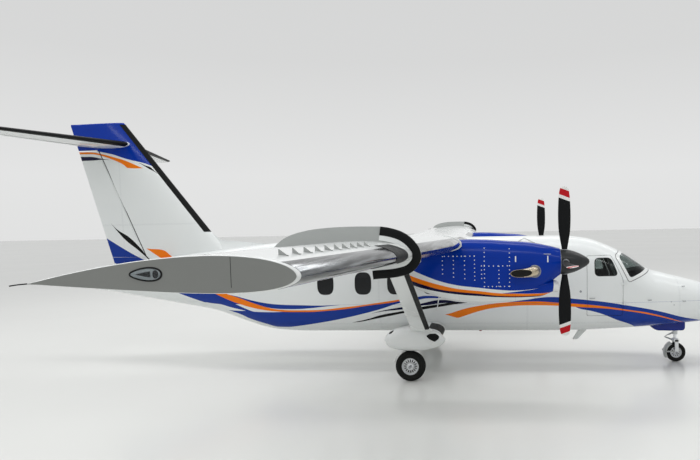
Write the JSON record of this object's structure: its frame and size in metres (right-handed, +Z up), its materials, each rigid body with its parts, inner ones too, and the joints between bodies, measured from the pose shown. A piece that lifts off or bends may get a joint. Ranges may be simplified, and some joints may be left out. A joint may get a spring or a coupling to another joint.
{
  "type": "twin-turboprop strut-braced high-wing airliner",
  "caption": "High-wing, strut-braced regional airliner with nacelle-mounted turboprops, feathering propellers, fixed tricycle gear, cruciform tail, and working control surfaces and doors.",
  "frame": {"origin": "on the ground at the centre of the bounding box, on the aircraft's centre plane", "axes": "+X forward to the nose, +Y to the aircraft's left wing tip, +Z up"},
  "size_m": [16.7802, 22.02, 6.023],
  "materials": {
    "airframe_paint": "gloss white paint",
    "blue_paint": "gloss deep blue paint",
    "grey_paint": "satin grey paint",
    "deicing_boot": "smooth black rubber",
    "gear_metal": "light grey enamel",
    "wheel_rim": "cast, clear coated",
    "tyre": "matt",
    "propeller_blade": "matt black composite",
    "spinner_shell": "satin dark grey",
    "exhaust_metal": "heat tinted steel",
    "glazing": "tinted, laminated",
    "cockpit_trim": "matt"
  },
  "bodies": {
    "airframe": {"cockpit_section": "airframe_paint", "nose_section": "airframe_paint", "cabin_section": "airframe_paint", "tail_section": "airframe_paint", "windscreen": "glazing", "cockpit_floor": "cockpit_trim", "instrument_panel": "cockpit_trim", "pilot_seat_right": "cockpit_trim", "pilot_seat_left": "cockpit_trim", "wing_centre": "airframe_paint", "wing_outer_right": "airframe_paint", "wing_outer_left": "airframe_paint", "wing_tip_right": "grey_paint", "wing_tip_left": "grey_paint", "wing_fence_right": "deicing_boot", "wing_fence_left": "deicing_boot", "wing_strut_right": "airframe_paint", "wing_strut_left": "airframe_paint", "gear_pod_right": "airframe_paint", "gear_pod_left": "airframe_paint", "main_leg_right": "gear_metal", "main_leg_left": "gear_metal", "nose_gear_fairing": "blue_paint", "nose_leg": "gear_metal", "nacelle_right": "blue_paint", "nacelle_left": "blue_paint", "engine_right": "gear_metal", "engine_left": "gear_metal", "exhaust_right": "exhaust_metal", "exhaust_left": "exhaust_metal", "fin": "airframe_paint", "tailplane_right": "airframe_paint", "tailplane_left": "airframe_paint", "belly_aerial": "airframe_paint"},
    "propeller_right": {"propeller_right": "propeller_blade", "spinner_right": "spinner_shell"},
    "main_wheel_right": {"main_tyre_right": "tyre", "main_rim_right": "wheel_rim"},
    "crew_door_right": {"crew_door_right": "airframe_paint", "crew_door_window_right": "glazing"},
    "flap_right": {"flap_right": "airframe_paint"},
    "aileron_right": {"aileron_right": "airframe_paint"},
    "elevator_right": {"elevator_right": "airframe_paint"},
    "propeller_left": {"propeller_left": "propeller_blade", "spinner_left": "spinner_shell"},
    "main_wheel_left": {"main_tyre_left": "tyre", "main_rim_left": "wheel_rim"},
    "crew_door_left": {"crew_door_left": "airframe_paint", "crew_door_window_left": "glazing"},
    "flap_left": {"flap_left": "airframe_paint"},
    "aileron_left": {"aileron_left": "airframe_paint"},
    "elevator_left": {"elevator_left": "airframe_paint"},
    "nose_fork": {"nose_fork": "gear_metal", "nose_mudguard": "grey_paint"},
    "nose_wheel": {"nose_tyre": "tyre", "nose_rim": "wheel_rim"},
    "entry_door": {"entry_door": "airframe_paint"},
    "rudder": {"rudder": "airframe_paint"}
  },
  "joints": [
    {"name": "propeller_right_spin", "type": "hinge", "parent": "airframe", "child": "propeller_right", "pos_m": [4.063, -3.035, 2.592], "axis": [1, 0, 0], "continuous": true},
    {"name": "main_wheel_right_spin", "type": "hinge", "parent": "airframe", "child": "main_wheel_right", "pos_m": [0.942, -1.87, 0.321], "axis": [0, 1, 0], "continuous": true},
    {"name": "crew_door_right_hinge", "type": "hinge", "parent": "airframe", "child": "crew_door_right", "pos_m": [5.584, -0.88, 1.48], "axis": [0, 0, 1], "range_deg": [0, 80]},
    {"name": "flap_right_hinge", "type": "hinge", "parent": "airframe", "child": "flap_right", "pos_m": [0.52, -1, 2.9149], "axis": [0, -0.9998, 0.0186], "range_deg": [0, 35]},
    {"name": "aileron_right_hinge", "type": "hinge", "parent": "airframe", "child": "aileron_right", "pos_m": [0.43, -8.1, 3.0427], "axis": [0, -0.9998, 0.0192], "range_deg": [-20, 20]},
    {"name": "elevator_right_hinge", "type": "hinge", "parent": "airframe", "child": "elevator_right", "pos_m": [-7.3034, -0.3, 5.48], "axis": [-0.2122, -0.9772, 0], "range_deg": [-22, 18]},
    {"name": "propeller_left_spin", "type": "hinge", "parent": "airframe", "child": "propeller_left", "pos_m": [4.063, 3.035, 2.592], "axis": [1, 0, 0], "continuous": true},
    {"name": "main_wheel_left_spin", "type": "hinge", "parent": "airframe", "child": "main_wheel_left", "pos_m": [0.942, 1.87, 0.321], "axis": [0, 1, 0], "continuous": true},
    {"name": "crew_door_left_hinge", "type": "hinge", "parent": "airframe", "child": "crew_door_left", "pos_m": [5.584, 0.88, 1.48], "axis": [0, 0, -1], "range_deg": [0, 80]},
    {"name": "flap_left_hinge", "type": "hinge", "parent": "airframe", "child": "flap_left", "pos_m": [0.52, 1, 2.9149], "axis": [0, -0.9998, -0.0186], "range_deg": [0, 35]},
    {"name": "aileron_left_hinge", "type": "hinge", "parent": "airframe", "child": "aileron_left", "pos_m": [0.43, 8.1, 3.0427], "axis": [0, -0.9998, -0.0192], "range_deg": [-20, 20]},
    {"name": "elevator_left_hinge", "type": "hinge", "parent": "airframe", "child": "elevator_left", "pos_m": [-7.3034, 0.3, 5.48], "axis": [0.2122, -0.9772, 0], "range_deg": [-22, 18]},
    {"name": "rudder_hinge", "type": "hinge", "parent": "airframe", "child": "rudder", "pos_m": [-6.074, 0, 2.64], "axis": [-0.3914, 0, 0.9202], "range_deg": [-25, 25]},
    {"name": "entry_door_hinge", "type": "hinge", "parent": "airframe", "child": "entry_door", "pos_m": [-2, 0.85, 1.15], "axis": [-1, 0, 0], "range_deg": [0, 120]},
    {"name": "nose_steering", "type": "hinge", "parent": "airframe", "child": "nose_fork", "pos_m": [6.92, 0, 0.56], "axis": [0, 0, 1], "range_deg": [-50, 50]},
    {"name": "nose_wheel_spin", "type": "hinge", "parent": "nose_fork", "child": "nose_wheel", "pos_m": [6.932, 0, 0.222], "axis": [0, 1, 0], "continuous": true}
  ],
  "couplings": [
    {"joint": "flap_left_hinge", "follows": "flap_right_hinge", "ratio": 1},
    {"joint": "aileron_left_hinge", "follows": "aileron_right_hinge", "ratio": -1},
    {"joint": "elevator_left_hinge", "follows": "elevator_right_hinge", "ratio": 1}
  ]
}
